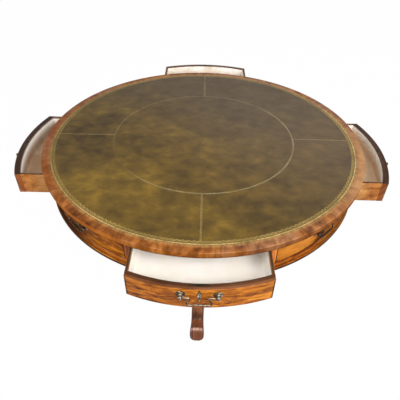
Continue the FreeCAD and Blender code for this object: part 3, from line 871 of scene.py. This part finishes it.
def drum_curve(x, depth):
    """On the drum the ends point to the middle: x is a length along the curve."""
    return (DRUM - depth) * np.sin(x / DRUM), -(DRUM - depth) * np.cos(x / DRUM)


drawer_front = bowed_front(drawer_curve, DRAWER_HALF, DRAWER_FOOT, DRAWER_TOP)
(front, spread, _), (back, _, _) = drawer_front[:2]
drawer_front[3:4] = bolt_well(front[-1], back[-1], spread[-1])
on_each_drawer("front", "face", drawer_front,
               lambda side: [figured, top_edge[side], brown_bead, shadow, front_end,
                             rubbed_edge if side == "front" else top_edge[side]])

drawer_share = 24.07
half_false = math.radians(45 - drawer_share) * DRUM
false_front = bowed_front(drum_curve, half_false, -125.1, -43.95)
make_piece("false_drawer_fronts", spun(false_front, FALSE_TURN.values(), 5.3, 1.9),
           [false_figured, dark_edge, brown_bead, shadow, dark_edge, dark_edge], "drum",
           "false_fronts")

# %% [markdown]
# ## Drawer sides and lining
#
# Each side is a thin board with its arrises eased, and its front end follows the bowed
# front. The lining is a tray: rings of points that shrink and sink together, over a soft
# top edge, down the wall and round a cove to the floor.

# %% Drawer sides
def drawer_sides(number):
    """Two upright boards. Rows go up, and columns go from the front to the rear."""
    lines = np.array([0, 0.2, 0.6, 1.2])
    rows = np.concatenate([DRAWER_FOOT + lines, [-105, -85, -65], (DRAWER_TOP - lines)[::-1]])
    share = np.concatenate([lines / 300, np.linspace(0.02, 0.98, 16), 1 - lines[::-1] / 300])
    share, z = np.meshgrid(share, rows)
    ease = eased(np.minimum(z - DRAWER_FOOT, DRAWER_TOP - z), 1.2)
    patches = []
    for sign in (1, -1):
        faces = []
        for x in (DRAWER_HALF - ease, LINING_HALF + ease):
            start = -np.sqrt(INNER**2 - x**2)
            faces.append(stacked(sign * x, start + share * (DRAWER_REAR - start), z))
        spread = stacked(share * 0.275, z / 1000 + sign + 3 * number)
        patches += board(*faces, spread, 0, 0, (0, 1, 0, 0), 0.0095)
    return patches


for number, (side, turn) in enumerate(DRAWER_TURN.items()):
    make_piece(f"{side}_drawer_side_boards",
               turned(drawer_sides(number), turn, (0, -OPENING[side], 0)),
               [drawer_side, board_top], f"{side}_drawer", f"{side}_drawer_sides")

# %% Drawer linings
def tray_ring(inset, level, corner):
    """One ring round the lining: straight sides, a bowed front and curved corners, each a
    curve with the corner as its control point."""
    half, rear, bow = LINING_HALF - inset, LINING_REAR - inset, INNER - inset
    front = -math.sqrt(bow**2 - half**2)
    on_bow = -math.sqrt(bow**2 - (half - corner) ** 2)
    t = np.linspace(0, 1, 7)[:, None]

    def curve(*points):
        start, control, end = map(np.array, points)
        return start * (1 - t) ** 2 + control * 2 * t * (1 - t) + end * t**2

    x = np.linspace(half - corner, corner - half, 30)[1:-1]
    length = front - rear + 2 * corner
    right_half = np.concatenate([
        curve((half - corner, rear), (half, rear), (half, rear - corner)),
        stacked(half, rear - corner + length * np.array([0.25, 0.5, 0.75])),
        curve((half, front + corner), (half, front), (half - corner, on_bow))])
    points = np.concatenate([right_half, stacked(x, -np.sqrt(bow**2 - x**2)),
                             right_half[::-1] * (-1, 1), right_half[:1]])
    return stacked(*points.T, level)


def drawer_lining():
    """A tray, ring by ring, from the middle of its underside to the middle of its floor."""
    bend = np.radians(np.arange(0, 91, 15))
    steps = [(0, -112.8, 1), (0, -46.0, 1), (0.3, -45.5, 1), (1, -45.2, 1.5), (1.7, -45.5, 2),
             (2, -46.2, 2.5), (2, -75, 3)]
    steps += [(2 + 9 * (1 - math.cos(a)), -102.3 - 9 * math.sin(a), 4 + 3 * a) for a in bend]
    steps += [(40, -111.3, 9), (90, -111.3, 9)]
    rings = np.stack([tray_ring(*step) for step in steps])
    middle = lambda level: np.broadcast_to([0.0, -400.0, level], rings[:1].shape)
    rings = np.concatenate([middle(-112.8), rings, middle(-111.3)])
    return [(rings, rings[..., :2] / 1000, 0)]


on_each_drawer("tray_lining", "lining", drawer_lining(), lambda side: [linings[side]],
               sharp=50.0)

# %% [markdown]
# ## Brass on the fronts
#
# A swan-neck handle has two turned posts on stepped plates and a bail that hangs between
# them. The posts are turned shapes with their axis outward. The bail is a round rod whose
# thickness changes: thin in the bends and fuller in the grip. A pointed plate guards each
# keyhole. A lock plate lies on each drawer's top edge, with a slot open to the lock bolt's
# well in the front below it. The posts' tips are rubbed bright and carry a painted glint.
# The front drawer's handle is in the old brass. The others are in the dark brass, as
# painted shade, with lighter tips.

# %% Posts and keyhole plates
POST_X, BAIL_Y, POST_Z = 51.5, -579.11, -68.5
POST_PROFILE = [
    (0, -1), (13, -1), (13, 0.9), (12.5, 1.5), (11.7, 1.8), (11, 1.4), (10.3, 1.3),
    (9.6, 1.9), (8.4, 2.8), (6.8, 3.4), (5.2, 3.8), (4.2, 4.7), (3.7, 6), (3.7, 7.2),
    (4.4, 8), (5.5, 8.9), (6.2, 10.3), (6.5, 12), (6.5, 13), (6.2, 14.7), (5.5, 16.1),
    (4.3, 17.1), (2.6, 17.8), (0, 18.1)]
PLATE_OUTLINE = [
    (0, -49), (1, -50), (1.5, -52), (1.1, -54), (1.6, -56), (4.2, -60), (6, -66),
    (6.2, -71), (5.4, -76), (4.4, -82), (2.6, -87), (1.1, -90.5), (1.3, -92), (2, -94),
    (1.3, -95.6), (0, -96)]


def posts():
    """Two turned posts: the profile's second number is the distance from the front."""
    ring, spread = lathe([(r, d + DRUM) for r, d in POST_PROFILE], 28, "y", 0.006)
    ring = ring + (0, 0, POST_Z)
    # The tips get the brighter brass: rubbed, and a painted glint.
    tip = np.repeat([[int(d > 11)] for _, d in POST_PROFILE[:-1]], 28, axis=1)
    turn = math.degrees(math.asin(POST_X / DRUM))
    return spun([(ring, spread, tip)], (turn, -turn))


def keyhole_plate():
    """A tall pointed plate: rings that go from its outline to the keyhole. The surface rises
    with the distance from the outline, so it is low on the thin ends and a boss between."""
    half = rounded(PLATE_OUTLINE, 3)
    half[:, 0] = np.maximum(half[:, 0], 0)
    outline = np.concatenate([half, half[-2::-1] * (-1, 1)])
    turn = np.pi * (half[:, 1] + 49) / -47
    turn = np.concatenate([turn, 2 * np.pi - turn[-2::-1]])
    hole = stacked(1.2 * np.sin(turn), 4.4 * np.cos(turn) + KEYHOLE)
    share = np.array([0, 0, 0.05, 0.12, 0.22, 0.34, 0.46, 0.58, 0.7, 0.8, 0.88, 0.94, 1, 1])
    flat = outline + (hole - outline) * share[:, None, None]
    x, z = flat[..., 0], flat[..., 1]
    within = share[:, None] * np.abs(outline[:, 0])
    rise = 0.7 + 2.0 * (1 - np.exp(-within / 1.6))
    rise[[0, -1]] = -1
    rise[-2] -= 0.5
    plate = stacked(x, -np.sqrt(DRUM**2 - x**2) - rise, z)
    plate = np.concatenate([plate, plate[:1]])
    # The boss and the lowest tip get the brighter brass: rubbed, and a painted glint.
    boss = (share > 0.15) & (share < 0.85)
    rubbed = boss[:, None] | (outline[:-1, 1] < -91)
    return [(plate, plate[..., [0, 2]] / 1000, rubbed.astype(int))]


fittings = posts() + keyhole_plate()
# Only the front drawer's fittings are in the old brass. The other drawers' and the false
# fronts' are in the dark brass, as painted shade, with lighter tips.
on_each_drawer("brass", "handle_posts", fittings,
               lambda side: [brass, rubbed_brass_and_glint] if side == "front" else [patina_and_shade_brass, brass])
make_piece("false_front_brass", spun(fittings, FALSE_TURN.values()),
           [patina_and_shade_brass, rubbed_brass_and_glint], "drum", "false_front_handle_posts")

# %% Bails
def arc(middle, radius, start, end):
    """Points on an arc of a circle, about one for every 10 degrees."""
    angle = np.radians(np.linspace(start, end, round(abs(end - start) / 10) + 1))
    return stacked(middle[0] + radius * np.cos(angle), middle[1] + radius * np.sin(angle))


def bail():
    """A round rod along a path in a plane: inward from the posts, back under itself by the
    neck, out and down by the breast, and along the grip. Its thickness follows the length
    from the grip's middle."""
    neck, breast = np.array([31.0, -5.5]), np.array([26.5, -23.7])
    across, down = breast - neck
    slope = math.degrees(math.atan2(down, across)) % 360
    lean = math.degrees(math.acos(13.5 / math.hypot(across, down)))
    pin, grip = stacked(np.linspace(57, 35, 6), 0), stacked(np.linspace(22, 3, 5), -31.7)
    right = np.concatenate([pin, arc(neck, 5.5, 90, slope - lean),
                            arc(breast, 8, slope - lean - 180, -90), grip])
    path = np.concatenate([right * (-1, 1), [(0, -31.7)], right[::-1]])
    steps = np.linalg.norm(np.diff(path, axis=0), axis=1)
    length = np.concatenate([[0], np.cumsum(steps)])
    reach = np.abs(length - length[-1] / 2)
    thick = np.interp(reach, [0, 12, 26, 35, 44, 56, 68, 80, 94],
                      [3.3, 3.1, 2.5, 2.7, 2.3, 2.0, 1.9, 2.3, 2.3])
    along = np.gradient(path, axis=0)
    along = along / np.linalg.norm(along, axis=1)[:, None]
    angle = np.radians(np.linspace(0, 360, 17))
    across = thick[:, None] * np.cos(angle)
    x = path[:, :1] - along[:, 1:] * across
    z = path[:, 1:] + along[:, :1] * across
    y = thick[:, None] * np.sin(angle)
    rod = capped(stacked(x, y + BAIL_Y, z + POST_Z))
    return [(rod, rod[..., [0, 2]] / 1000, 0)]


# Only the front drawer's bail is in the old brass. The others are in the dark brass, as
# painted shade.
on_each_drawer("swan_neck", "bail", bail(),
               lambda side: [brass if side == "front" else patina_and_shade_brass], "_handle",
               50.0)
for where, turn in FALSE_TURN.items():
    make_piece(f"{where}_swan_neck", turned(bail(), turn), [patina_and_shade_brass], f"{where}_handle",
               f"bail_{where}", 50.0)

# %% Lock plates
def lock_plate():
    """A thin plate on the front's top edge, with two screws and an open slot for the bolt."""
    first, middle, last = -559.6, -554.6, -549.6
    x, y = np.meshgrid(np.linspace(-30, 30, 121), np.linspace(first, last, 21))
    inward = y - middle
    screw = np.hypot(np.abs(x) - 24, inward)
    groove = (screw < 2.4) & (np.abs(x * 0.8 + inward - 19.2 * np.sign(x)) < 0.5)
    sunk = groove | (np.abs(screw - 2.7) < 0.3)
    edge = np.minimum(30 - np.abs(x), 5 - np.abs(inward))
    top = stacked(x, y, DRAWER_TOP + (0.35 - eased(edge, 0.3) - 0.2 * sunk))
    under = stacked(x, y, DRAWER_TOP - 0.7)
    spread = stacked(x, y) / 1000
    slot = (4, 16), (43, 77)
    wall = np.stack([hole_edge(top, *slot), hole_edge(under, *slot)])
    return (holed(top, spread, 0, *slot) + holed(under, spread, 0, *slot)
            + board(top, under, spread)[2:] + [(wall, wall[..., [0, 2]] / 1000, 1)])


on_each_drawer("lock_plate", "lock", lock_plate(), lambda side: [patina_and_shade_brass, shadow])

# %% [markdown]
# ## Moulding and column
#
# Both are turned work: a cove over a nose round the drum's foot, and a vase on a drum that
# takes the legs. The vase's profile is a smooth curve through a few radii.

# %% Moulding and column
foot_profile = [
    (561.2, -125.2), (570.4, -125.2), (570.9, -126.1), (571.2, -128.0), (572.6, -130.2),
    (575.2, -131.8), (577.6, -132.5), (578.0, -133.4), (582.0, -133.8), (583.5, -134.9),
    (584.5, -136.8), (585.0, -139.2), (584.6, -141.6), (583.4, -143.5), (581.8, -144.7),
    (580, -145), (553, -145), (553, -140.05), (561.2, -140.05), (561.2, -125.2)]
ring, spread = lathe(foot_profile, 240)
# The moulding's top fillet is in the paler bead wood, wear and a painted highlight, and the
# step under the cove and the whole nose are in the dark edge wood, as painted shade.
foot_finishes = [0, 1, 0, 0, 0, 0, 2, 0, 0, 2, 2, 2, 2, 2, 2, 0, 0, 0, 0]
make_piece("foot_moulding", [(ring, spread, np.tile(foot_finishes, (240, 1)))],
           [moulding_wood, rubbed_bead_and_highlight, dark_edge], "drum", "base_moulding")

vase = rounded([(52, 286), (53.5, 293), (58, 308), (63.2, 325), (66, 343), (64.8, 362),
                (60, 382), (52.5, 402), (44.5, 422), (38.6, 443), (35.2, 466), (34, 488)], 4)
column_profile = [
    (0, 158), (50.5, 158), (52, 159.5), (52, 270.5), (53, 272), (57, 272.6), (59.4, 274.4),
    (60.4, 278), (59.4, 281.6), (57, 283.4), (53, 284.2), *vase, (36, 489.4), (40.5, 490),
    (43, 491.8), (44, 496), (43, 500.2), (40.5, 502), (35.5, 502.8), (34, 504), (34, 530),
    (34.6, 545), (37, 555), (42, 563), (50, 569.5), (58, 573.5), (63, 575), (64, 577.2),
    (69, 578), (71.6, 580.4), (72.4, 583.8), (71.6, 587.2), (69.5, 589.5), (0, 589.5)]
ring, spread = lathe([(r, h + FLOOR) for r, h in column_profile], 96, reach=0.05)
make_piece("turned_column", [(ring, spread[..., ::-1], 0)], [turned_wood], "pedestal",
           "column")

# %% [markdown]
# ## Cabriole legs
#
# A leg is drawn through sections, each with an upper and a lower edge and a width. A smooth
# curve through them gives many sections between, and each becomes a soft rectangle: a
# superellipse. The toe is carved with shallow reeds that run along it and fade out above
# the ankle. What would lie below the floor is pressed flat onto it.

# %% Legs
LEG = [
    (40, 266, 40, 158, 52), (78, 267, 74, 158, 54), (112, 256, 92, 164, 55),
    (152, 231, 113, 165, 54), (195, 194, 151, 147, 53.5), (243, 148, 205, 109, 53.5),
    (290, 103, 258, 69, 54), (325, 73, 300, 41, 53.5), (342, 54, 322, 24, 53),
    (356, 46.5, 343, 5, 55), (370, 46, 364, -6, 58), (382, 45, 380, -6, 60),
    (393, 41, 393, -6, 61), (404, 32, 404, -6, 61), (412, 20, 412, -6, 58),
    (416.5, 8, 416.5, -6, 51), (418, 0, 418, -6, 44)]


def leg():
    """Rows go along the leg and columns round it."""
    line = rounded(LEG, 6)
    angle = np.radians(np.linspace(0, 360, 97))
    c, s = np.cos(angle), np.sin(angle)
    upper, lower, width = line[:, 0:2], line[:, 2:4], line[:, 4:5]
    middle, arm = (upper + lower) / 2, (upper - lower) / 2
    lift, side = (np.sign(value) * np.abs(value) ** 0.62 for value in (c, s))
    out = middle[:, :1] + arm[:, :1] * lift
    level = middle[:, 1:] + arm[:, 1:] * lift
    x = width / 2 * side
    out = out - 7 * np.clip((upper[:, :1] - 380) / 32, 0, 1) * side**4
    toe = np.clip((upper[:, :1] - 338) / 16, 0, 1)
    reed = 2.2 * toe * (0.5 - 0.5 * np.cos(x * 2 * math.pi / 8.5)) * np.clip(c + 0.55, 0, 1)
    level = np.maximum(level - reed, 0.8 * np.maximum(c, 0)) + FLOOR
    points = capped(stacked(x, -out, level))
    length = np.linalg.norm(np.diff(points.mean(axis=1), axis=0), axis=1).cumsum() / 1000
    return [(points, stacked(np.concatenate([[0], length])[:, None], angle * 0.03), 0)]


for number, (where, turn) in enumerate({"front": 0, "rear_right": 120,
                                        "rear_left": 240}.items()):
    make_piece(f"{where}_cabriole_leg", turned(leg(), turn - 1.0, slide=0.9 * number),
               [leg_wood], "pedestal", f"leg_{where}", sharp=50.0)

# %% [markdown]
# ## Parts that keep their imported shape
#
# The flat boards and blocks inside are right as they are, and only need their finish.

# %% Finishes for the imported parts
keep = {"top_board": carcase, "kickers": carcase, "partitions": carcase,
        "drawer_stops": carcase, "base_board": carcase, "bearing_block": carcase,
        "top_rail": rail_wood, "frieze_stiles": upright, "pivot_plate": iron,
        "pivot_spindle": iron, "tie_plate": iron}
for side in DRAWER_TURN:
    keep[f"{side}_drawer_back"] = pale_wood
    keep[f"{side}_drawer_bottom"] = pale_wood
    keep[f"{side}_drawer_lock_bolt"] = iron
for name, material in keep.items():
    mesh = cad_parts[name].data
    mesh.materials.clear()
    mesh.materials.append(material)
print("packed parts that keep their shape:", len(keep))

# %% [markdown]
# ## Floor and light
#
# The table stands on a pale floor under large soft lamps. The floor and the world look
# white to the camera and in reflections, but they don't light the table more for that.

# %% Floor, lamps and world
def white_for_camera(tree, plain, output, share=1.0):
    """Shows white to the camera, and in gloss and glass, and the plain shader to the rest."""
    path = add(tree, "LightPath", {}).socket.node.outputs
    seen = most(*(Wire(path[f"Is {ray} Ray"]) for ray in ("Camera", "Glossy", "Transmission")))
    glow = add(tree, "Emission", {"Color": (1, 1, 1, 1), "Strength": 1.0})
    both = add(tree, "MixShader", (seen * share, Wire(plain.outputs[0]), glow))
    tree.links.new(both.socket, output)


mesh = bpy.data.meshes.new("floor")
angle = np.radians(np.arange(64) * 360 / 64)
rim = stacked(14 * np.cos(angle), 14 * np.sin(angle), -0.7601)
mesh.from_pydata(rim.tolist(), [], [list(range(64))])
floor = bpy.data.objects.new("floor", mesh)
bpy.context.scene.collection.objects.link(floor)
material, tree, shader = finish("pale floor")
feed(shader, {"Base Color": colour(246, 246, 246), "Roughness": 0.9})
white_for_camera(tree, shader, tree.nodes["Material Output"].inputs[0], 0.98)
mesh.materials.append(material)

world = bpy.data.worlds.new("studio")
bpy.context.scene.world = world
world.use_nodes = True
tree = world.node_tree
plain = tree.nodes["Background"]
feed(plain, {"Color": (1.0, 0.99, 0.97, 1), "Strength": 0.5})
white_for_camera(tree, plain, tree.nodes["World Output"].inputs[0])


def lamp(name, place, target, size, power):
    """A square lamp of that size, in metres, which faces its target."""
    light = bpy.data.lights.new(name, "AREA")
    light.shape, light.size, light.energy = "SQUARE", size, power
    away = np.subtract(place, target)
    side = np.cross([0, 0, 1], away)
    axes = [axis / np.linalg.norm(axis) for axis in (side, np.cross(away, side), away)]
    stand(name, light, axes, place)


lamp("front_right", (1.6, -2.5, 1.8), (0, -0.3, -0.1), 1.6, 106)
lamp("front_left", (-1.6, -2.4, 1.8), (0, -0.3, -0.1), 1.6, 40)
lamp("above_front", (0, -1.2, 1.6), (0, -0.6, -0.1), 0.9, 7)
lamp("rear", (0.8, 2.4, 1.8), (0, 0, -0.1), 2.0, 8)
bpy.context.scene.view_settings.view_transform = "Standard"
print("lamps:", [light.name for light in bpy.data.lights], "and a pale floor and world")
